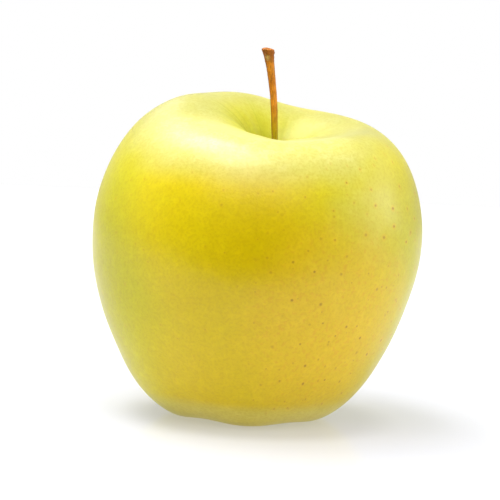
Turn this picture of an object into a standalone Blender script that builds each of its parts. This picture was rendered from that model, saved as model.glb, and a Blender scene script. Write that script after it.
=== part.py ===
"""A whole yellow apple with its stem, standing on the five knobs of its base.

Metres, +Z up. The origin is on the table, under the middle of the fruit's width and depth.
The fruit's front faces -Y, so +X is its right-hand side.
"""

import math
from typing import NamedTuple

import bmesh
import bpy
import numpy as np

MM = 0.001

# Facets round the fruit and from its stem to its calyx. The sectors are a multiple of four.
SECTORS = 80
RINGS = 64

# The five lobes that an apple's five seed chambers make, as directions of their ridges. One
# ridge faces the front at the base, and they have twisted a little by the time they meet the top.
LOBES = 5
BASE_RIDGE = math.radians(272)
TOP_RIDGE = math.radians(247)
LOBE_UNEVENNESS = 0.2
LOBE_STRONGEST = math.radians(200)

# The top is a slight saddle, which stands higher at both ends of this direction than across it.
SADDLE_AXIS = math.radians(150)

# The knobs are pressed this much flatter, in mm, where the fruit stands on them.
FOOT_FLAT = 0.3

# The stem, in mm. It leans to the left, bows backwards and widens to a knob at its tip.
STEM_LENGTH = 29.4
STEM_LEAN = -2.7
STEM_BOW = 0.9
STEM_FOOT_RADIUS = 0.73
STEM_TAPER = 0.12
STEM_FLARE = 0.65
STEM_POINTS = 22
STEM_SIDES = 12
STEM_DOME = 0.9
STEM_DOME_POINTS = 3

# The dried calyx under the fruit, in mm: five sepals round a tuft.
SEPALS = 5
SEPAL_THICKNESS = 0.3
SEPAL_HALF_WIDTH = 0.95
SEPAL_ROOT_RADIUS = 1.9
TUFT_RADIUS = 0.5
TUFT_LENGTH = 3.2

# Free space kept between neighbouring pieces, in mm.
GAP = 0.3


class Station(NamedTuple):
    """A ring of the fruit's surface. Every size is in mm."""

    radius: float
    height: float
    # How far to the right its centre lies.
    drift: float = 0.0
    # How much higher it is at its left end, and lower at its right.
    left_up: float = 0.0
    # How much higher it is at its back, and lower at its front.
    back_up: float = 0.0
    # How much higher it is at both ends of the saddle's axis, and lower across it.
    saddle_up: float = 0.0
    # How far each lobe stands out, and each furrow in.
    lobe_out: float = 0.0
    # How far each lobe stands up, and each furrow down.
    lobe_up: float = 0.0
    # How far the ridges of its lobes have turned, from 0 at the base to 1 at the top.
    twist: float = 0.0


# From the hollow where the stem sits, over the shoulder and down to the calyx.
OUTLINE = {
    "stem seat": Station(0.0, 57.5, 2.9),
    "stem hollow": Station(3.6, 61.0, 2.9, 0.3, 0.2, 0.0, 0.1, 0.0, 1.0),
    "hollow edge": Station(7.6, 67.0, 2.9, 1.5, 0.6, 0.4, 0.3, 0.1, 1.0),
    "dish": Station(11.5, 69.7, 2.4, 2.1, 1.7, 0.8, 0.3, 0.2, 1.0),
    "crest": Station(17.5, 71.4, 1.0, 2.7, 3.0, 0.7, 0.2, 0.3, 1.0),
    "shoulder": Station(25.2, 70.8, 0.0, 1.1, 2.1, 0.4, 0.2, 0.2, 0.8),
    "shoulder edge": Station(32.2, 65.6, 0.0, 0.1, 1.2, 0.0, 0.2, 0.1, 0.6),
    "upper cheek": Station(37.0, 56.3, 0.0, 0.0, 0.3, 0.0, 0.3, 0.0, 0.4),
    "equator": Station(39.0, 43.5, -0.2, 0.0, 0.0, 0.0, 0.3, 0.0, 0.2),
    "lower cheek": Station(37.1, 30.2, -0.7, 0.0, 0.0, 0.0, 0.3),
    "flank": Station(31.0, 15.0, -1.0, 0.0, 0.0, 0.0, 0.4),
    "heel": Station(22.1, 3.4, -1.1, 0.0, 0.0, 0.0, 0.4, -0.2),
    "foot": Station(15.2, 0.4, -1.1, 0.0, 0.0, 0.0, 0.2, -0.3),
    "basin side": Station(7.6, 5.4, -1.1, 0.0, 0.0, 0.0, -0.3, -0.3),
    "basin floor": Station(0.0, 9.6, -1.1),
}


def lobe(azimuth, ridge):
    """1 on the ridge of a lobe and -1 in a furrow, a little stronger on one side of the fruit."""
    strength = 1 + LOBE_UNEVENNESS * np.cos(azimuth - LOBE_STRONGEST)
    return strength * np.cos(LOBES * (azimuth - ridge))


def station_ring(station, azimuth):
    """The points of one station, in mm."""
    wave = lobe(azimuth, BASE_RIDGE + (TOP_RIDGE - BASE_RIDGE) * station.twist)
    radius = station.radius + station.lobe_out * wave
    height = station.height + station.lobe_up * wave
    height -= station.left_up * np.cos(azimuth)
    height += station.back_up * np.sin(azimuth)
    height += station.saddle_up * np.cos(2 * (azimuth - SADDLE_AXIS))
    x = station.drift + radius * np.cos(azimuth)
    return np.stack([x, radius * np.sin(azimuth), height], axis=-1)


def spline_weights(knots, at):
    """The weights that turn values at the knots into a natural cubic spline's values."""
    count = len(knots)
    gaps = np.diff(knots)
    system = np.eye(count)
    slopes = np.zeros((count, count))
    for i in range(1, count - 1):
        before, after = gaps[i - 1], gaps[i]
        system[i, i - 1 : i + 2] = before, 2 * (before + after), after
        slopes[i, i - 1 : i + 2] = 6 / before, -6 / before - 6 / after, 6 / after
    bend = np.linalg.solve(system, slopes)
    left = np.clip(np.searchsorted(knots, at) - 1, 0, count - 2)
    share = (at - knots[left]) / gaps[left]
    rest = 1 - share
    weights = np.zeros((len(at), count))
    rows = np.arange(len(at))
    weights[rows, left] = rest
    weights[rows, left + 1] = share
    scale = gaps[left] ** 2 / 6
    weights += ((rest**3 - rest) * scale)[:, None] * bend[left]
    weights += ((share**3 - share) * scale)[:, None] * bend[left + 1]
    return weights


def fruit_grid(rings, sectors):
    """The fruit's surface in mm: an array of rings by sectors by 3, from the seat to the calyx."""
    azimuth = np.arange(sectors) * math.tau / sectors
    stations = list(OUTLINE.values())
    points = np.stack([station_ring(station, azimuth) for station in stations])
    # Each pole gets its neighbour from the far side, so that the surface runs through it evenly.
    across = sectors // 2
    before = np.roll(points[1], across, axis=0)
    after = np.roll(points[-2], across, axis=0)
    points = np.concatenate([[before], points, [after]])
    steps = [
        math.dist((a.radius, a.height), (b.radius, b.height))
        for a, b in zip(stations, stations[1:])
    ]
    length = sum(steps)
    knots = np.cumsum([-steps[0], steps[0], *steps, steps[-1]])
    weights = spline_weights(knots, np.linspace(0, length, rings + 1))
    grid = np.tensordot(weights, points, axes=1)
    grid[..., 2] = np.maximum(grid[..., 2] - FOOT_FLAT, 0)
    return grid


def material(name, colour, roughness):
    made = bpy.data.materials.new(name)
    made.use_nodes = True
    shader = made.node_tree.nodes["Principled BSDF"]
    shader.inputs["Base Color"].default_value = (*colour, 1)
    shader.inputs["Roughness"].default_value = roughness
    shader.inputs["Metallic"].default_value = 0
    made.diffuse_color = (*colour, 1)
    return made


def place(obj, collection, parent, location=(0, 0, 0), turn=0):
    """Links an object, and sets it on its parent at a place in mm and an angle about +Z."""
    collection.objects.link(obj)
    obj.parent = parent
    obj.location = [value * MM for value in location]
    obj.rotation_euler = (0, 0, turn)
    return obj


def mesh_object(name, bm, look):
    mesh = bpy.data.meshes.new(name)
    bm.to_mesh(mesh)
    bm.free()
    mesh.materials.append(look)
    mesh.shade_smooth()
    return bpy.data.objects.new(name, mesh)


def fruit_object(grid, look):
    """The flesh and skin in one solid: a sphere whose points are moved onto the fruit's surface."""
    bm = bmesh.new()
    bmesh.ops.create_uvsphere(bm, u_segments=SECTORS, v_segments=RINGS, radius=1)
    for vert in bm.verts:
        down = math.acos(max(-1, min(1, vert.co.z)))
        ring = round(down / math.pi * RINGS)
        sector = round(math.atan2(vert.co.y, vert.co.x) / math.tau * SECTORS) % SECTORS
        vert.co = grid[ring, sector] * MM
    return mesh_object("fruit", bm, look)


def stem_point(share):
    """The stem's middle line in mm, from its foot at share 0 to its tip at 1."""
    lean = STEM_LEAN * share**2.3
    bow = STEM_BOW * math.sin(math.pi * share)
    return lean, bow, STEM_LENGTH * share


def stem_radius(share):
    return STEM_FOOT_RADIUS + STEM_TAPER * share + STEM_FLARE * share**9


def stem_object(look):
    """A tapered tube with a domed knob at its tip."""
    curve = bpy.data.curves.new("stem", "CURVE")
    curve.dimensions = "3D"
    curve.bevel_depth = MM
    curve.bevel_resolution = STEM_SIDES // 2 - 2
    curve.use_fill_caps = True
    shares = [i / (STEM_POINTS - 1) for i in range(STEM_POINTS)]
    rings = [(stem_point(share), stem_radius(share)) for share in shares]
    tip, tip_radius = rings[-1]
    for i in range(1, STEM_DOME_POINTS + 1):
        angle = i / STEM_DOME_POINTS * math.radians(70)
        top = (tip[0], tip[1], tip[2] + STEM_DOME * math.sin(angle))
        rings.append((top, tip_radius * math.cos(angle)))
    spline = curve.splines.new("POLY")
    spline.points.add(len(rings) - 1)
    spline.use_smooth = True
    for point, (place_mm, radius) in zip(spline.points, rings):
        point.co = (*[value * MM for value in place_mm], 1)
        point.radius = radius
    curve.materials.append(look)
    return bpy.data.objects.new("stem", curve)


def sepal_point(along, across):
    """A point of a sepal in mm: along from its root at 0 to its tip at 1, across from -1 to 1."""
    closing = -0.5 * math.sin(math.pi * min(along / 0.8, 1))
    curl = 1.7 * max(along - 0.45, 0) ** 1.3
    out = SEPAL_ROOT_RADIUS + closing + curl
    half_width = SEPAL_HALF_WIDTH * (1 - along) ** 0.6 + 0.1
    cup = 0.18 * across**2 * (1 - along)
    down = 4.3 * math.sin(along * math.radians(80))
    return out + cup, half_width * across, -down


def sepal_object(name, look):
    """A thin dried leaf: a sheet bent to shape, split into triangles and given its thickness."""
    bm = bmesh.new()
    bmesh.ops.create_grid(bm, x_segments=8, y_segments=4, size=1)
    for vert in bm.verts:
        along, across = (vert.co.x + 1) / 2, vert.co.y
        vert.co = [value * MM for value in sepal_point(along, across)]
    bmesh.ops.triangulate(bm, faces=bm.faces)
    obj = mesh_object(name, bm, look)
    solidify = obj.modifiers.new("thickness", "SOLIDIFY")
    solidify.thickness = SEPAL_THICKNESS * MM
    solidify.offset = 0
    return obj


def tuft_object(look):
    """What is left of the flower's stamens, as one small cone that points down."""
    bm = bmesh.new()
    bmesh.ops.create_cone(
        bm,
        cap_ends=True,
        segments=10,
        radius1=TUFT_RADIUS * 0.4 * MM,
        radius2=TUFT_RADIUS * MM,
        depth=TUFT_LENGTH * MM,
    )
    return mesh_object("calyx_tuft", bm, look)


def build_apple():
    for obj in list(bpy.data.objects):
        bpy.data.objects.remove(obj)
    collection = bpy.data.collections.new("apple")
    bpy.context.scene.collection.children.link(collection)

    skin = material("skin", (0.62, 0.5, 0.04), 0.35)
    bark = material("bark", (0.3, 0.13, 0.04), 0.7)
    husk = material("husk", (0.2, 0.14, 0.08), 0.85)

    grid = fruit_grid(RINGS, SECTORS)
    low, high = grid.min(axis=(0, 1)), grid.max(axis=(0, 1))
    middle = bpy.data.objects.new("middle", None)
    place(middle, collection, None, (-(low[0] + high[0]) / 2, -(low[1] + high[1]) / 2, 0))

    place(fruit_object(grid, skin), collection, middle)
    seat_x, seat_y, seat_height = grid[0, 0]
    place(stem_object(bark), collection, middle, (seat_x, seat_y, seat_height + 2 * GAP))

    calyx_x, calyx_y, floor_height = grid[-1, 0]
    root = (calyx_x, calyx_y, floor_height - 2 * GAP)
    for i in range(SEPALS):
        turn = BASE_RIDGE + (i + 0.5) * math.tau / SEPALS
        place(sepal_object(f"sepal_{i + 1}", husk), collection, middle, root, turn)
    tuft_place = (calyx_x, calyx_y, floor_height - GAP - TUFT_LENGTH / 2)
    place(tuft_object(husk), collection, middle, tuft_place)


build_apple()
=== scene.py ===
import math
from typing import NamedTuple

import bpy
import numpy as np
from mathutils import Matrix, Vector, noise


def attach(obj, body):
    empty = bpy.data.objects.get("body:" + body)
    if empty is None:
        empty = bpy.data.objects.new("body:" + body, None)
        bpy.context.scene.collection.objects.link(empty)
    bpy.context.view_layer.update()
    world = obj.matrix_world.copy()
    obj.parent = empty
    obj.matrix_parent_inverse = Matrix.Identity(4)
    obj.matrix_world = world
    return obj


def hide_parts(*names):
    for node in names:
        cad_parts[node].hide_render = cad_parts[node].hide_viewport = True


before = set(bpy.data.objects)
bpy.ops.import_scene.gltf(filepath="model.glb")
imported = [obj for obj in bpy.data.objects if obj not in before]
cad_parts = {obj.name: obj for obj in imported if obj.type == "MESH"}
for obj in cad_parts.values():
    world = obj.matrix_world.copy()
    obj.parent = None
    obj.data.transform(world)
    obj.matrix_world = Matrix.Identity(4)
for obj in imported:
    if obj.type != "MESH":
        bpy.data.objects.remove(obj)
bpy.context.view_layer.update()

MM = 0.001

# The fruit's surface.
SECTORS = 432
RINGS = 220

LOBES = 5
BASE_RIDGE = math.radians(272)
TOP_RIDGE = math.radians(247)
LOBE_UNEVENNESS = 0.2
LOBE_STRONGEST = math.radians(200)
SADDLE_AXIS = math.radians(150)
FOOT_FLAT = 0.3
CENTRE = np.array([0.0, 0.0, 40.0])


class Station(NamedTuple):
    """A ring of the fruit's surface, in mm, as in part.py."""

    radius: float
    height: float
    drift: float = 0.0
    left_up: float = 0.0
    back_up: float = 0.0
    saddle_up: float = 0.0
    lobe_out: float = 0.0
    lobe_up: float = 0.0
    twist: float = 0.0


OUTLINE = {
    "stem seat": Station(0.0, 57.5, 2.9),
    "stem hollow": Station(3.6, 61.0, 2.9, 0.3, 0.2, 0.0, 0.1, 0.0, 1.0),
    "hollow edge": Station(7.6, 67.0, 2.9, 1.5, 0.6, 0.4, 0.3, 0.1, 1.0),
    "dish": Station(11.5, 69.7, 2.4, 2.1, 1.7, 0.8, 0.3, 0.2, 1.0),
    "crest": Station(17.5, 71.4, 1.0, 2.7, 3.0, 0.7, 0.2, 0.3, 1.0),
    "shoulder": Station(25.2, 70.8, 0.0, 1.1, 2.1, 0.4, 0.2, 0.2, 0.8),
    "shoulder edge": Station(32.2, 65.6, 0.0, 0.1, 1.2, 0.0, 0.2, 0.1, 0.6),
    "upper cheek": Station(37.0, 56.3, 0.0, 0.0, 0.3, 0.0, 0.3, 0.0, 0.4),
    "equator": Station(39.0, 43.5, -0.2, 0.0, 0.0, 0.0, 0.3, 0.0, 0.2),
    "lower cheek": Station(37.1, 30.2, -0.7, 0.0, 0.0, 0.0, 0.3),
    "flank": Station(31.0, 15.0, -1.0, 0.0, 0.0, 0.0, 0.4),
    "heel": Station(22.1, 3.4, -1.1, 0.0, 0.0, 0.0, 0.4, -0.2),
    "foot": Station(15.2, 0.4, -1.1, 0.0, 0.0, 0.0, 0.2, -0.3),
    "basin side": Station(7.6, 5.4, -1.1, 0.0, 0.0, 0.0, -0.3, -0.3),
    "basin floor": Station(0.0, 9.6, -1.1),
}


def lobe(azimuth, ridge):
    strength = 1 + LOBE_UNEVENNESS * np.cos(azimuth - LOBE_STRONGEST)
    return strength * np.cos(LOBES * (azimuth - ridge))


def station_ring(station, azimuth):
    wave = lobe(azimuth, BASE_RIDGE + (TOP_RIDGE - BASE_RIDGE) * station.twist)
    radius = station.radius + station.lobe_out * wave
    height = station.height + station.lobe_up * wave
    height -= station.left_up * np.cos(azimuth)
    height += station.back_up * np.sin(azimuth)
    height += station.saddle_up * np.cos(2 * (azimuth - SADDLE_AXIS))
    x = station.drift + radius * np.cos(azimuth)
    return np.stack([x, radius * np.sin(azimuth), height], axis=-1)


def spline_weights(knots, at):
    count = len(knots)
    gaps = np.diff(knots)
    system = np.eye(count)
    slopes = np.zeros((count, count))
    for i in range(1, count - 1):
        before, after = gaps[i - 1], gaps[i]
        system[i, i - 1 : i + 2] = before, 2 * (before + after), after
        slopes[i, i - 1 : i + 2] = 6 / before, -6 / before - 6 / after, 6 / after
    bend = np.linalg.solve(system, slopes)
    left = np.clip(np.searchsorted(knots, at) - 1, 0, count - 2)
    share = (at - knots[left]) / gaps[left]
    rest = 1 - share
    weights = np.zeros((len(at), count))
    rows = np.arange(len(at))
    weights[rows, left] = rest
    weights[rows, left + 1] = share
    scale = gaps[left] ** 2 / 6
    weights += ((rest**3 - rest) * scale)[:, None] * bend[left]
    weights += ((share**3 - share) * scale)[:, None] * bend[left + 1]
    return weights


def fruit_grid(rings, sectors):
    """The surface in mm: an array of rings by sectors by 3, from the seat to the calyx."""
    azimuth = np.arange(sectors) * math.tau / sectors
    stations = list(OUTLINE.values())
    points = np.stack([station_ring(station, azimuth) for station in stations])
    across = sectors // 2
    before = np.roll(points[1], across, axis=0)
    after = np.roll(points[-2], across, axis=0)
    points = np.concatenate([[before], points, [after]])
    steps = [
        math.dist((a.radius, a.height), (b.radius, b.height))
        for a, b in zip(stations, stations[1:])
    ]
    length = sum(steps)
    knots = np.cumsum([-steps[0], steps[0], *steps, steps[-1]])
    grid = np.tensordot(spline_weights(knots, np.linspace(0, length, rings + 1)), points, axes=1)
    grid[..., 2] = np.maximum(grid[..., 2] - FOOT_FLAT, 0)
    return grid


def middle_of(grid):
    low, high = grid.min(axis=(0, 1)), grid.max(axis=(0, 1))
    return np.array([(low[0] + high[0]) / 2, (low[1] + high[1]) / 2, 0])


middle = middle_of(fruit_grid(64, 80))


def axis_point(station, drop=0.0):
    return np.array([station.drift, 0.0, station.height - drop]) - middle


SEAT = axis_point(OUTLINE["stem seat"])
BASIN = axis_point(OUTLINE["basin floor"], drop=FOOT_FLAT)


# Helpers.
def smooth(low, high, value):
    t = np.clip((value - low) / (high - low), 0, 1)
    return t * t * (3 - 2 * t)


def mesh_piece(name, verts, faces, look, body="root"):
    mesh = bpy.data.meshes.new(name)
    mesh.from_pydata([tuple(v) for v in verts], [], faces)
    mesh.materials.append(look)
    mesh.shade_smooth()
    obj = bpy.data.objects.new(name, mesh)
    bpy.context.scene.collection.objects.link(obj)
    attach(obj, body)
    return obj


class Graph:
    """The node tree of a material or of the world, with short ways to add nodes."""

    def __init__(self, owner):
        owner.use_nodes = True
        self.tree = owner.node_tree

    def add(self, kind, inputs=None, **settings):
        made = self.tree.nodes.new("ShaderNode" + kind)
        for key, value in settings.items():
            setattr(made, key, value)
        for key, value in (inputs or {}).items():
            self.feed(made.inputs[key], value)
        return made

    def feed(self, socket, value):
        if isinstance(value, bpy.types.NodeSocket):
            self.tree.links.new(value, socket)
        elif isinstance(value, tuple) and len(value) == 3 and socket.type == "RGBA":
            socket.default_value = (*value, 1)
        else:
            socket.default_value = value

    def math(self, operation, *values):
        made = self.add("Math", operation=operation)
        for socket, value in zip(made.inputs, values):
            self.feed(socket, value)
        return made.outputs[0]

    def vector(self, operation, *values):
        made = self.add("VectorMath", operation=operation)
        for socket, value in zip(made.inputs, values):
            self.feed(socket, value)
        out = "Value" if operation in ("LENGTH", "DISTANCE", "DOT_PRODUCT") else "Vector"
        return made.outputs[out]

    def split(self, vector):
        return self.add("SeparateXYZ", {"Vector": vector}).outputs

    def ramp(self, value, low, high, out_low=0.0, out_high=1.0):
        made = self.add("MapRange", interpolation_type="SMOOTHSTEP")
        for key, socket_value in (
            ("Value", value),
            ("From Min", low),
            ("From Max", high),
            ("To Min", out_low),
            ("To Max", out_high),
        ):
            self.feed(made.inputs[key], socket_value)
        return made.outputs[0]

    def blend(self, factor, a, b, kind="MIX"):
        made = self.add("Mix", data_type="RGBA", blend_type=kind)
        self.feed(made.inputs[0], factor)
        self.feed(made.inputs[6], a)
        self.feed(made.inputs[7], b)
        return made.outputs[2]

    def tint(self, colour, other, mask, strength):
        """The other colour over this one, where the mask is, and at most at the strength."""
        return self.blend(self.math("MULTIPLY", mask, strength), colour, other)


class Look(Graph):
    """The node tree of a new material."""

    def __init__(self, name):
        self.material = bpy.data.materials.new(name)
        super().__init__(self.material)
        self.shader = self.tree.nodes["Principled BSDF"].inputs
        self.place = self.add("TexCoord").outputs["Object"]

    def shade(self, inputs):
        for key, value in inputs.items():
            self.feed(self.shader[key], value)

    def level_offset(self, point):
        """The way from a point in mm to the place, without its height."""
        offset = self.vector("SUBTRACT", self.place, tuple(point * MM))
        return self.vector("MULTIPLY", offset, (1.0, 1.0, 0.0))

    def noise(self, scale, detail=2.0, roughness=0.5, place=None):
        made = self.add("TexNoise", noise_dimensions="3D")
        self.feed(made.inputs["Vector"], place or self.place)
        made.inputs["Scale"].default_value = scale
        made.inputs["Detail"].default_value = detail
        made.inputs["Roughness"].default_value = roughness
        return made.outputs["Fac"]

    def bump(self, height, strength, distance, normal=None):
        made = self.add("Bump")
        made.inputs["Strength"].default_value = strength
        made.inputs["Distance"].default_value = distance
        self.feed(made.inputs["Height"], height)
        if normal is not None:
            self.feed(made.inputs["Normal"], normal)
        return made.outputs["Normal"]


# The skin's material.
YELLOW = (0.85, 0.735, 0.006)
GOLD = (0.865, 0.64, 0.0012)
PALE_AND_SHEEN = (0.52, 0.505, 0.145)
PAINTED_HIGHLIGHT = (0.8, 0.755, 0.22)
WARM = (0.97, 0.76, 0.004)
BACK = (0.62, 0.54, 0.035)
AMBER = (0.85, 0.61, 0.003)
GREEN = (0.62, 0.585, 0.012)
DEEP_GREEN = (0.5, 0.5, 0.012)
BLUSH = (0.97, 0.65, 0.022)
STREAK = (0.42, 0.43, 0.01)
TABLE_REFLECTION = (0.84, 0.77, 0.17)
PINK = (0.95, 0.42, 0.03)
SPOT = (0.5, 0.22, 0.001)
HALO = (0.97, 0.6, 0.03)


class Patch(NamedTuple):
    """A part of the skin round a direction, with the cosines where it starts and where it is full."""

    direction: tuple
    start: float
    full: float


LOWER_FRONT = Patch((0.15, -0.75, -0.65), 0.45, 0.95)
FRONT = Patch((-0.15, -1.0, 0.16), 0.72, 0.97)
UPPER_LEFT = Patch((-0.48, -0.84, 0.25), 0.85, 1.0)
TOP = Patch((0.0, -0.1, 1.0), 0.5, 0.85)
# Where the painted highlight and the painted reflection of the right-hand box lie.
SHOULDER_HIGHLIGHT = Patch((-0.08, -0.76, 0.62), 0.68, 0.9)
RIGHT_REFLECTION = Patch((0.7, -0.58, 0.4), 0.88, 1.0)
LEFT_SIDE = Patch((-1.0, 0.1, -0.15), 0.45, 0.9)
RIGHT_SIDE = Patch((1.0, 0.1, -0.12), 0.55, 0.95)
BACK_SIDE = Patch((0.2, 0.95, -0.1), 0.5, 0.95)
SUNNY_CHEEK = Patch((0.5, -0.82, -0.28), 0.74, 1.02)
SPOTTED = Patch((0.78, -0.58, -0.2), 0.4, 0.85)
FAINTLY_SPOTTED = Patch((0.85, -0.4, -0.1), -0.2, 0.7)
PATCH_UNEVENNESS = 0.3

HOLLOW_HEIGHT = (52 * MM, 58 * MM)
HOLLOW_GREEN = (17 * MM, 8 * MM)
HOLLOW_STREAKS = (20 * MM, 6 * MM)
HOLLOW_GREEN_AND_SHADE = (12.5 * MM, 2 * MM)
HOLLOW_DULL = (22 * MM, 12 * MM)
HOLLOW_SHADED_SIDE = (-0.9, 0.4, 0.0)
REFLECTION_HEIGHT = (7.8 * MM, 4.2 * MM)
REFLECTION_WANDER = 1 * MM
BASIN_GREEN = (16 * MM, 3 * MM)
BASIN_HEIGHT = (14 * MM, 8 * MM)

UNROLLED_RADIUS = 36 * MM
FAINT_SPACING = 7.0 * MM
FAINT_RADIUS = 0.36 * MM
FAINT_KEPT = 0.8
PLAIN_SPACING = 5.2 * MM
PLAIN_RADIUS = 0.47 * MM
PLAIN_KEPT = 0.75


def colour_hollow(g, colour, up):
    """Greener towards the stem, with streaks outwards, and darker deep in the hollow and on its left
    wall: partly the hollow's own green and partly painted shade. Also gives how dull the skin is
    there.
    """
    offset = g.level_offset(SEAT)
    reach = g.vector("LENGTH", offset)
    spokes = g.vector("NORMALIZE", offset)
    above = g.ramp(up, *HOLLOW_HEIGHT)
    # Painted shade: all the hollow's tints are stronger on its left wall, which faces away from the
    # key light.
    shaded_side = g.ramp(g.vector("DOT_PRODUCT", spokes, HOLLOW_SHADED_SIDE), -0.7, 0.6, 0.6, 1.0)

    def within(band):
        mask = g.math("MULTIPLY", g.ramp(reach, *band), above)
        return g.math("MULTIPLY", mask, shaded_side)

    streaks = g.ramp(g.noise(4.5, 3.0, 0.6, place=spokes), 0.45, 0.6)
    streaks = g.math("MULTIPLY", streaks, within(HOLLOW_STREAKS))
    colour = g.tint(colour, GREEN, within(HOLLOW_GREEN), 0.8)
    colour = g.tint(colour, STREAK, streaks, 0.6)
    # Darker deep in the hollow: partly its own green, partly painted shade in the recess.
    colour = g.tint(colour, DEEP_GREEN, within(HOLLOW_GREEN_AND_SHADE), 0.8)
    dull = g.math("MULTIPLY", g.ramp(reach, *HOLLOW_DULL, 0.0, 0.14), above)
    return colour, dull


def colour_foot(g, colour, up, wander):
    """Paler round the foot, a painted reflection of the white table, and greener in the basin of the
    calyx.
    """
    # Painted reflection: a pale band low on the fruit, where the white table would show in the skin.
    foot = g.ramp(g.math("MULTIPLY_ADD", wander, REFLECTION_WANDER, up), *REFLECTION_HEIGHT)
    colour = g.tint(colour, TABLE_REFLECTION, foot, 0.55)
    basin = g.ramp(g.vector("LENGTH", g.level_offset(BASIN)), *BASIN_GREEN)
    basin = g.math("MULTIPLY", basin, g.ramp(up, *BASIN_HEIGHT))
    return g.tint(colour, DEEP_GREEN, basin, 0.7)


def lenticels(g, unrolled, spacing, radius, kept, strength):
    """Spots scattered by cells, one in each cell that is kept: their dark middles and their rims."""
    cells = g.add("TexVoronoi", {"Vector": unrolled}, voronoi_dimensions="2D")
    cells.inputs["Scale"].default_value = 1 / spacing
    draw = g.add("SeparateColor", {"Color": cells.outputs["Color"]}).outputs
    size = g.ramp(draw[0], 0.0, 1.0, 0.6 * radius / spacing, radius / spacing)
    share = g.math("DIVIDE", cells.outputs["Distance"], size)
    strength = g.math("MULTIPLY", strength, g.math("LESS_THAN", draw[1], kept))
    strength = g.math("MULTIPLY", strength, g.ramp(draw[2], 0.0, 1.0, 0.35, 1.0))
    dark = g.math("MULTIPLY", g.ramp(share, 1.2, 0.3), strength)
    rim = g.math("MULTIPLY", g.ramp(share, 2.6, 1.2), strength)
    return dark, rim


def skin_material():
    g = Look("skin")
    wander = g.noise(26.0, 3.0, 0.6)
    fine = g.noise(420.0, 4.0, 0.65)
    mottle = g.noise(1500.0, 2.0, 0.6)
    x, y, up = g.split(g.place)
    towards = g.vector("NORMALIZE", g.vector("SUBTRACT", g.place, tuple(CENTRE * MM)))
    rise = g.split(towards)[2]

    def patch(where):
        unit = Vector(where.direction).normalized()
        facing = g.vector("DOT_PRODUCT", towards, tuple(unit))
        uneven = g.math("MULTIPLY_ADD", wander, PATCH_UNEVENNESS, -PATCH_UNEVENNESS / 2)
        return g.ramp(g.math("ADD", facing, uneven), where.start, where.full)

    colour = g.blend(g.ramp(wander, 0.3, 0.7, 0.0, 0.35), YELLOW, GREEN)
    colour = g.tint(colour, AMBER, patch(LOWER_FRONT), 0.9)
    colour = g.tint(colour, GOLD, patch(FRONT), 0.95)
    colour = g.tint(colour, WARM, patch(UPPER_LEFT), 0.7)
    # Top: its own pale green-yellow, partly painted: a whitish painted sheen from the lights
    # overhead, and its yellow darkened, a painted shade that holds the strongly lit top below white.
    colour = g.tint(colour, PALE_AND_SHEEN, patch(TOP), 0.9)
    # Painted highlight: a whitish patch where the key light shines on the front shoulder, and a
    # fainter painted reflection of the right-hand box on the right shoulder.
    highlight_mask = g.math("MULTIPLY", patch(SHOULDER_HIGHLIGHT), g.ramp(rise, 0.42, 0.64))
    colour = g.tint(colour, PAINTED_HIGHLIGHT, highlight_mask, 0.8)
    colour = g.tint(colour, PAINTED_HIGHLIGHT, patch(RIGHT_REFLECTION), 0.4)
    sides = g.math("ADD", patch(LEFT_SIDE), patch(RIGHT_SIDE))
    colour = g.tint(colour, GREEN, sides, 0.7)
    colour = g.tint(colour, BACK, patch(BACK_SIDE), 0.8)
    blush = patch(SUNNY_CHEEK)
    colour = g.tint(colour, BLUSH, blush, 0.75)
    colour, dull = colour_hollow(g, colour, up)
    colour = colour_foot(g, colour, up, wander)

    # Fine mottling, which turns pink where the sun reached the skin.
    lighter = g.blend(1.0, colour, (1.1, 1.13, 1.6), "MULTIPLY")
    colour = g.blend(g.ramp(fine, 0.45, 0.72, 0.0, 0.6), colour, lighter)
    darker = g.blend(1.0, colour, (0.93, 0.9, 0.7), "MULTIPLY")
    colour = g.blend(g.ramp(mottle, 0.42, 0.66, 0.0, 0.85), colour, darker)
    pink = g.math("MULTIPLY", g.ramp(g.noise(750.0, 3.0, 0.6), 0.5, 0.7), blush)
    colour = g.tint(colour, PINK, pink, 0.25)

    # Lenticels on the unrolled skin: faint ones anywhere, and plainer ones on the right.
    around = g.math("ARCTAN2", x, g.math("MULTIPLY", y, -1.0))
    around = g.math("MULTIPLY", around, UNROLLED_RADIUS)
    unrolled = g.add("CombineXYZ", {"X": around, "Y": up}).outputs["Vector"]
    off_poles = g.ramp(g.math("ABSOLUTE", rise), 0.92, 0.75)
    faintly = g.math("MULTIPLY_ADD", patch(FAINTLY_SPOTTED), 0.25, 0.3)
    faintly = g.math("MULTIPLY", faintly, off_poles)
    plainly = g.math("MULTIPLY", patch(SPOTTED), off_poles)
    faint = lenticels(g, unrolled, FAINT_SPACING, FAINT_RADIUS, FAINT_KEPT, faintly)
    plain = lenticels(g, unrolled, PLAIN_SPACING, PLAIN_RADIUS, PLAIN_KEPT, plainly)
    dark, rim = (g.math("MAXIMUM", a, b) for a, b in zip(faint, plain))
    colour = g.tint(colour, HALO, rim, 0.3)
    colour = g.tint(colour, SPOT, dark, 0.85)

    relief = g.bump(fine, 0.2, 0.4 * MM)
    g.shade({
        "Base Color": colour,
        "Roughness": g.math("ADD", g.math("MULTIPLY_ADD", fine, 0.1, 0.25), dull),
        "Normal": g.bump(mottle, 0.25, 0.12 * MM, relief),
        "Specular IOR Level": 0.45,
        "IOR": 1.45,
        "Subsurface Weight": 0.22,
        "Subsurface Radius": (1.0, 0.75, 0.2),
        "Subsurface Scale": 3.5 * MM,
    })
    return g.material


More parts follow.
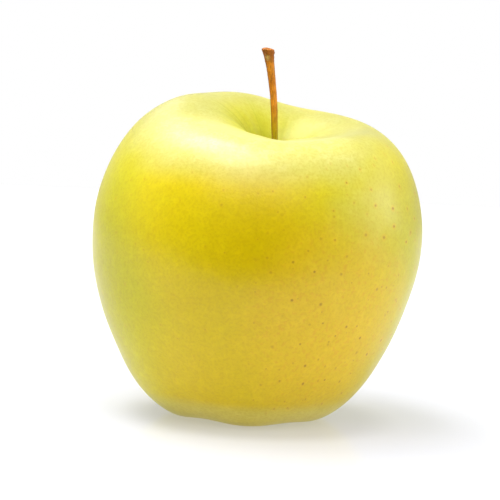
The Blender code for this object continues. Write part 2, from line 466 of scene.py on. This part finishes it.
# The stem's and the calyx's materials.
BARK = (0.97, 0.36, 0.03)
BARK_BROWN = (0.74, 0.24, 0.02)
BARK_OLIVE = (0.48, 0.36, 0.001)
BARK_CREVICE = (0.22, 0.08, 0.02)
BARK_GRAIN = (0.95, 0.62, 0.24)
BARK_FLANK_SHADE = (0.28, 0.1, 0.012)
BARK_CUT = (0.34, 0.1, 0.012)
BARK_HIGHLIGHT = (0.95, 0.68, 0.26)
OLIVE_HEIGHT = (76 * MM, 66 * MM)
CUT_HEIGHT = (83.5 * MM, 87.5 * MM)
CUT_WANDER = 2 * MM
HIGHLIGHT_SHARE = 0.945
HIGHLIGHT_OFFSET = (-0.4, -1.2, 0.0)
HIGHLIGHT_RIM = (1.8 * MM, 1 * MM)
HIGHLIGHT_WANDER = 1.6 * MM
HUSK = (0.16, 0.1, 0.05)
HUSK_PALE = (0.3, 0.24, 0.12)
HUSK_VEIN = (0.06, 0.04, 0.025)


def bark_material():
    g = Look("bark")
    fibre = g.noise(2600.0, 4.0, 0.7, place=g.vector("MULTIPLY", g.place, (1.0, 1.0, 0.12)))
    patchy = g.noise(420.0, 3.0, 0.6)
    grain = g.noise(3800.0, 2.0, 0.6)
    up = g.split(g.place)[2]
    colour = g.blend(g.ramp(patchy, 0.35, 0.65), BARK, BARK_BROWN)
    colour = g.blend(g.ramp(up, *OLIVE_HEIGHT), colour, BARK_OLIVE)
    colour = g.blend(g.ramp(fibre, 0.5, 0.68, 0.0, 0.55), colour, BARK_CREVICE)
    colour = g.blend(g.ramp(grain, 0.6, 0.75, 0.0, 0.5), colour, BARK_GRAIN)
    # Painted shade: the stem darker along its left and right flanks, by which way the surface faces.
    left = g.vector("DOT_PRODUCT", g.add("NewGeometry").outputs["Normal"], (-1.0, 0.0, 0.0))
    left_shade = g.ramp(left, 0.45, 0.95, 0.0, 0.6)
    right_shade = g.ramp(left, -0.75, -1.0, 0.0, 0.5)
    colour = g.blend(g.math("MAXIMUM", left_shade, right_shade), colour, BARK_FLANK_SHADE)
    tip = g.ramp(g.math("MULTIPLY_ADD", patchy, CUT_WANDER, up), *CUT_HEIGHT)
    colour = g.tint(colour, BARK_CUT, tip, 0.7)
    # Painted highlight: a pale cream spot on the stem's front left, just under the cut.
    highlight_at = tuple((SEAT + stem_point(HIGHLIGHT_SHARE) + HIGHLIGHT_OFFSET) * MM)
    away = g.math("MULTIPLY_ADD", grain, HIGHLIGHT_WANDER, g.vector("DISTANCE", g.place, highlight_at))
    colour = g.blend(g.ramp(away, *HIGHLIGHT_RIM, 0.0, 0.6), colour, BARK_HIGHLIGHT)
    relief = g.bump(fibre, 0.45, 0.15 * MM)
    g.shade({
        "Base Color": colour,
        "Roughness": g.math("MULTIPLY_ADD", fibre, 0.25, 0.45),
        "Normal": g.bump(grain, 0.3, 0.1 * MM, relief),
        "Specular IOR Level": 0.25,
    })
    return g.material


def husk_material():
    g = Look("husk")
    veins = g.noise(1700.0, 3.0, 0.65, place=g.vector("MULTIPLY", g.place, (1.0, 1.0, 0.35)))
    patchy = g.noise(600.0, 3.0, 0.6)
    colour = g.blend(g.ramp(patchy, 0.35, 0.65), HUSK, HUSK_PALE)
    g.shade({
        "Base Color": g.blend(g.ramp(veins, 0.5, 0.7, 0.0, 0.6), colour, HUSK_VEIN),
        "Roughness": g.math("MULTIPLY_ADD", veins, 0.2, 0.7),
        "Normal": g.bump(veins, 0.5, 0.2 * MM),
    })
    return g.material


# The fruit.
HOLLOW_WAVES = ((7, 0.6, 0.4), (12, 0.4, 2.1), (19, 0.2, 4.0))
HOLLOW_GROOVES = 0.07
BASIN_WAVES = ((10, 0.7, 1.0), (17, 0.35, 2.5), (5, 0.4, 0.3))
BASIN_GROOVES = 0.2
DENT_DEPTH = 0.2
DENT_WIDTH = 13.0
DENT_SHIFT = Vector((5.2, 1.3, 8.1))
HOLLOW_ABOVE = 50
BASIN_BELOW = 12
NO_LENGTH = 1e-9


def grooves(azimuth, waves):
    """A sum of waves round the axis, each given as (count, strength, phase)."""
    return sum(s * np.cos(n * azimuth + phase) for n, s, phase in waves)


def detailed_fruit():
    """The surface with what grew unevenly: soft dents, and grooves round the hollow and calyx."""
    grid = fruit_grid(RINGS, SECTORS) - middle
    azimuth = np.arange(SECTORS) * math.tau / SECTORS
    along = np.gradient(grid, axis=0)
    sideways = np.roll(grid, -1, axis=1) - np.roll(grid, 1, axis=1)
    normal = np.cross(along, sideways)
    length = np.linalg.norm(normal, axis=-1, keepdims=True)
    normal = np.where(length > NO_LENGTH, normal / np.maximum(length, NO_LENGTH), 0)
    if (normal * (grid - CENTRE)).sum() < 0:
        normal = -normal
    top = np.hypot(grid[..., 0] - SEAT[0], grid[..., 1] - SEAT[1])
    upper = grid[..., 2] > HOLLOW_ABOVE
    hollow = smooth(17, 9, top) * smooth(0.5, 4, top) * upper
    lift = hollow * HOLLOW_GROOVES * grooves(azimuth, HOLLOW_WAVES)
    low = np.hypot(grid[..., 0] - BASIN[0], grid[..., 1] - BASIN[1])
    basin = smooth(15, 9, low) * smooth(0.5, 4, low) * (grid[..., 2] < BASIN_BELOW)
    lift += basin * BASIN_GROOVES * grooves(azimuth, BASIN_WAVES)
    soft = np.zeros(grid.shape[:2])
    body = smooth(3, 14, grid[..., 2]) * (1 - 0.8 * smooth(20, 8, top) * upper)
    for i in range(grid.shape[0]):
        for j in range(grid.shape[1]):
            soft[i, j] = noise.noise(Vector(grid[i, j] / DENT_WIDTH) + DENT_SHIFT)
    lift += DENT_DEPTH * soft * body
    grid = grid + normal * lift[..., None]
    grid[..., 2] = np.maximum(grid[..., 2], 0)
    return grid


def fruit_piece(grid, look):
    rings, sectors = grid.shape[:2]
    verts = [grid[0].mean(0)] + list(grid[1:-1].reshape(-1, 3)) + [grid[-1].mean(0)]
    last = len(verts) - 1

    def at(i, j):
        if i == 0:
            return 0
        if i == rings - 1:
            return last
        return 1 + (i - 1) * sectors + j % sectors

    faces = [(at(0, 0), at(1, j), at(1, j + 1)) for j in range(sectors)]
    for i in range(1, rings - 2):
        faces += [(at(i, j), at(i + 1, j), at(i + 1, j + 1), at(i, j + 1)) for j in range(sectors)]
    faces += [(at(rings - 2, j), last, at(rings - 2, j + 1)) for j in range(sectors)]
    obj = mesh_piece("skin", np.array(verts) * MM, faces, look)
    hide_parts("fruit")


# The stem.
STEM_LENGTH = 29.4
STEM_LEAN = -2.7
STEM_BOW = 0.9
STEM_FOOT_UP = 0.3
STEM_DOME = 0.35
CUT_SLANT = 0.12


def stem_point(share):
    return np.array(
        [STEM_LEAN * share**2.3, STEM_BOW * math.sin(math.pi * share), STEM_LENGTH * share]
    )


def stem_radius(share):
    return 0.73 + 0.12 * share + 0.65 * share**9


def stem_piece(look):
    sides, steps, dome = 56, 150, 12
    foot = SEAT + [0, 0, STEM_FOOT_UP]
    cut_from = steps - 6
    verts = []
    for i in range(steps + dome + 1):
        share = min(i / steps, 1)
        centre = foot + stem_point(share)
        radius = stem_radius(share)
        if i > steps:
            angle = (i - steps) / dome * math.pi / 2
            centre = centre + [0, 0, STEM_DOME * math.sin(angle)]
            radius *= max(math.cos(angle), 0.02) ** 0.7
        for j in range(sides):
            turn = j * math.tau / sides
            out = np.array([math.cos(turn), math.sin(turn), 0])
            at = foot + stem_point(share) + out * radius
            rough = noise.noise(Vector((at[0] * 0.9, at[1] * 0.9, at[2] * 0.25)))
            knob = noise.noise(Vector(at * 1.6)) * share**8
            ridge = 0.04 * math.cos(5 * turn + 0.09 * at[2]) + 0.03 * math.cos(9 * turn + 2.0)
            swell = 1 + 0.09 * rough + 0.16 * knob + ridge * (1 - 0.4 * share)
            point = centre + out * radius * swell
            if i > cut_from:
                slant = CUT_SLANT * math.cos(turn - 2.6)
                point[2] += slant * smooth(cut_from, steps + 2, i)
            verts.append(point)
    verts.append(foot)
    verts.append(np.mean(verts[-1 - sides : -1], axis=0) + [0, 0, 0.02])
    rows = steps + dome + 1
    faces = []
    for i in range(rows - 1):
        for j in range(sides):
            a, b = i * sides + j, i * sides + (j + 1) % sides
            faces.append((a, b, b + sides, a + sides))
    faces += [((j + 1) % sides, j, rows * sides) for j in range(sides)]
    top = (rows - 1) * sides
    faces += [(top + j, top + (j + 1) % sides, rows * sides + 1) for j in range(sides)]
    obj = mesh_piece("stem_bark", np.array(verts) * MM, faces, look)
    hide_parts("stem")


# The calyx.
SEPALS = 5
SEPAL_STEPS = 40
SEPAL_ACROSS = 20
SEPAL_RING = 1.9
SEPAL_LENGTH = 4.3
SEPAL_TURN = math.radians(80)
SEPAL_HALF_WIDTH = 0.95
SEPAL_THICKNESS = 0.14
SEPAL_SUNK = 0.5
FILAMENTS = 22
FILAMENT_TURN = math.radians(137.5)
FILAMENT_LENGTH = 3.3
FILAMENT_RADIUS = 0.1
TUFT_SPREAD = 0.75


def sepal_piece(number, look):
    """A dried leaf: the solid's curl, with crumpled edges and a fold along its middle."""
    spin = Matrix.Rotation(BASE_RIDGE + (number - 0.5) * math.tau / SEPALS, 3, "Z")
    root = Vector(BASIN - [0, 0, SEPAL_SUNK])
    verts = []
    for i in range(SEPAL_STEPS + 1):
        along = i / SEPAL_STEPS
        for j in range(SEPAL_ACROSS + 1):
            across = 2 * j / SEPAL_ACROSS - 1
            closing = -0.5 * math.sin(math.pi * min(along / 0.8, 1))
            curl = 1.7 * max(along - 0.45, 0) ** 1.3
            half_width = SEPAL_HALF_WIDTH * (1 - along) ** 0.6 + 0.06
            point = Vector((SEPAL_RING + closing + curl, half_width * across, 0))
            point.x += (0.3 * across**2 - 0.12) * (1 - along)
            point.z = -SEPAL_LENGTH * math.sin(along * SEPAL_TURN)
            spot = Vector((along * 4.5, across * 1.6, number * 7.3))
            point.x += 0.28 * noise.noise(spot) + 0.12 * noise.noise(spot * 2.7)
            point.y += 0.16 * noise.noise(spot + Vector((0, 0, 3.1))) * (0.4 + along)
            point.y += 0.3 * along**2 * math.sin(number * 2.1)
            verts.append(spin @ point + root)
    row = SEPAL_ACROSS + 1
    faces = [
        (i * row + j, i * row + j + 1, (i + 1) * row + j + 1, (i + 1) * row + j)
        for i in range(SEPAL_STEPS)
        for j in range(SEPAL_ACROSS)
    ]
    obj = mesh_piece(f"dry_sepal_{number}", np.array(verts) * MM, faces, look)
    sheet = obj.modifiers.new("thickness", "SOLIDIFY")
    sheet.thickness = SEPAL_THICKNESS * MM
    sheet.offset = 0
    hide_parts(f"sepal_{number}")


def tuft_piece(look):
    """The dried stamens: thin bent threads with a small head each, round the withered style."""
    sides, steps = 8, 16
    verts, faces = [], []
    for k in range(FILAMENTS):
        turn = k * FILAMENT_TURN
        spread = TUFT_SPREAD * math.sqrt((k + 0.5) / FILAMENTS)
        length = FILAMENT_LENGTH - 1.3 * spread + 0.35 * math.sin(k * 2.3)
        first = len(verts)
        for i in range(steps + 1):
            share = i / steps
            out = spread * (0.55 + 0.45 * share) + 0.12 * math.sin(k * 1.7 + 4 * share)
            bend = turn + 0.5 * share * math.sin(k * 3.1)
            radius = FILAMENT_RADIUS - 0.045 * share + 0.1 * smooth(0.82, 0.92, share)
            radius *= 1 - 0.75 * smooth(0.95, 1.0, share)
            centre = BASIN + [out * math.cos(bend), out * math.sin(bend), 0.1 - length * share]
            for j in range(sides):
                angle = -j * math.tau / sides
                verts.append(centre + radius * np.array([math.cos(angle), math.sin(angle), 0]))
        for i in range(steps):
            for j in range(sides):
                a, b = first + i * sides + j, first + i * sides + (j + 1) % sides
                faces.append((a, b, b + sides, a + sides))
        faces.append(tuple(range(first + sides - 1, first - 1, -1)))
        faces.append(tuple(range(first + steps * sides, first + (steps + 1) * sides)))
    obj = mesh_piece("dry_stamens", np.array(verts) * MM, faces, look)
    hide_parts("calyx_tuft")


# Camera, floor and light.
PHOTO_SIDE = 500
SENSOR = 36
ELEVATION = math.radians(7.5)
ROLL = math.radians(2.65)
DISTANCE = 0.8
PIXELS_PER_METRE = 4205.0
AIMED_PIXEL = (256.2, 258.2)
AIMED_POINT = Vector((0, 0, 0.0375))

WHITE = (1, 1, 1, 1)
DARK_SIDE = (-0.31, -0.95)
DARK_EDGE = (0.3, 0.6)
DARK_TOP = (0.62, 0.42)
DARK_OVERHEAD = (0.85, 0.5)
HORIZON = (0.35, 0.05)
ROOM_GLOW = 0.37
HORIZON_GLOW = 0.25

TABLE_FRONT = 0.114
TABLE_BACK = 0.45
TABLE_WIDTH = 3
TABLE_DARK = (0.43, 0.44, 0.49)
TABLE_LIGHT = (0.46, 0.47, 0.52)
GLOW_MIDDLE = (2 * MM, -3 * MM, 0)
CLOSE_RING = (23.5 * MM, 36 * MM)
CLOSE_GLOW = (0.32, 0.42)
WIDE_RING = (37 * MM, 140 * MM)
WIDE_GLOW = (0.0, 0.23)


def add_camera():
    camera = bpy.data.cameras.new("camera")
    camera.sensor_width = SENSOR
    camera.lens = SENSOR * PIXELS_PER_METRE * DISTANCE / PHOTO_SIDE
    obj = bpy.data.objects.new("camera", camera)
    bpy.context.scene.collection.objects.link(obj)
    back = Vector((0, -math.cos(ELEVATION), math.sin(ELEVATION)))
    turned = (-back).to_track_quat("-Z", "Y").to_matrix().to_4x4() @ Matrix.Rotation(ROLL, 4, "Z")
    right, up = turned.col[0].to_3d(), turned.col[1].to_3d()
    half = PHOTO_SIDE / 2
    off = right * (half - AIMED_PIXEL[0]) - up * (half - AIMED_PIXEL[1])
    target = AIMED_POINT + off / PIXELS_PER_METRE
    obj.matrix_world = Matrix.Translation(target + back * DISTANCE) @ turned
    camera.clip_start = 0.01
    camera.clip_end = 50
    bpy.context.scene.camera = obj


def add_world():
    """A white room, brightest at the horizon, and dark overhead and on the camera's side.

    The camera itself sees it plain white.
    """
    world = bpy.data.worlds.new("studio")
    bpy.context.scene.world = world
    g = Graph(world)
    sky = g.tree.nodes["Background"]
    x, y, z = g.split(g.add("TexCoord").outputs["Generated"])
    level = g.math("SQRT", g.math("ADD", g.math("MULTIPLY", x, x), g.math("MULTIPLY", y, y)))
    ahead = g.math("MULTIPLY", x, DARK_SIDE[0])
    ahead = g.math("ADD", ahead, g.math("MULTIPLY", y, DARK_SIDE[1]))
    dark = g.ramp(g.math("DIVIDE", ahead, level), *DARK_EDGE)
    dark = g.math("MULTIPLY", dark, g.ramp(z, *DARK_TOP))
    strength = g.math("SUBTRACT", 1.0, dark)
    strength = g.math("MULTIPLY", strength, g.ramp(z, *DARK_OVERHEAD))
    low_glow = g.math("MULTIPLY_ADD", g.ramp(z, *HORIZON), HORIZON_GLOW, ROOM_GLOW)
    g.feed(sky.inputs["Strength"], g.math("MULTIPLY", strength, low_glow))
    g.feed(sky.inputs["Color"], WHITE)
    seen = g.add("Background", {"Color": WHITE, "Strength": 1.0})
    chosen = g.add("MixShader", {0: g.add("LightPath").outputs["Is Camera Ray"]})
    g.feed(chosen.inputs[1], sky.outputs[0])
    g.feed(chosen.inputs[2], seen.outputs[0])
    g.feed(g.tree.nodes["World Output"].inputs["Surface"], chosen.outputs[0])


def table_material():
    """A pale table with a painted glow, faint and least under the fruit, which paints the shadow's
    shape: dark close to the fruit and soft further out.
    """
    g = Look("table")
    position = g.add("NewGeometry").outputs["Position"]
    away = g.vector("LENGTH", g.vector("SUBTRACT", position, GLOW_MIDDLE))
    close = g.ramp(away, *CLOSE_RING, *CLOSE_GLOW)
    wide = g.ramp(away, *WIDE_RING, *WIDE_GLOW)
    g.shade({
        "Base Color": g.blend(g.noise(30.0), TABLE_DARK, TABLE_LIGHT),
        "Roughness": 0.12,
        "Specular IOR Level": 0.05,
        "Emission Color": WHITE,
        "Emission Strength": g.math("ADD", close, wide),
    })
    return g.material


def add_floor():
    depth = TABLE_FRONT + TABLE_BACK
    bpy.ops.mesh.primitive_plane_add(size=1, location=(0, TABLE_BACK - depth / 2, 0))
    floor = bpy.context.object
    floor.scale = (TABLE_WIDTH, depth, 1)
    floor.name = "floor"
    floor.data.materials.append(table_material())


def area_light(name, place, size, radiance, aim=None, turn=0):
    """A soft box that faces a point, or straight down where no point is given."""
    light = bpy.data.lights.new(name, "AREA")
    light.shape = "RECTANGLE"
    light.size, light.size_y = size
    light.energy = radiance * math.pi * size[0] * size[1]
    obj = bpy.data.objects.new(name, light)
    bpy.context.scene.collection.objects.link(obj)
    obj.location = place
    if aim is not None:
        obj.rotation_euler = (Vector(aim) - Vector(place)).to_track_quat("-Z", "Y").to_euler()
    else:
        obj.rotation_euler = (0, 0, turn)
    obj.visible_camera = False


def add_lights():
    fruit = CENTRE * MM
    right = (0.5, 0.04, 0.17)
    area_light("key", (-0.15, 0.08, 0.55), (0.25, 0.56), 8.5, turn=math.radians(20))
    area_light("key_wide", (-0.08, -0.1, 0.55), (0.46, 0.76), 0.9, turn=math.radians(15))
    area_light("key_back", (-0.3, 0.55, 0.5), (0.5, 0.4), 1.05, aim=fruit)
    area_light("front_fill", (0.0, -0.42, 0.5), (0.8, 0.26), 2.0, aim=fruit)
    area_light("ceiling", (0, 0, 1.3), (9, 9), 0.15)
    area_light("right_box", right, (0.16, 0.12), 3.6, aim=fruit)
    area_light("right_wide", right, (0.34, 0.26), 1.2, aim=fruit)


# Build.
bpy.context.scene.view_settings.view_transform = "Standard"
add_camera()
add_world()
add_floor()
add_lights()
fruit_piece(detailed_fruit(), skin_material())
stem_piece(bark_material())
husk = husk_material()
for number in range(1, SEPALS + 1):
    sepal_piece(number, husk)
tuft_piece(husk)
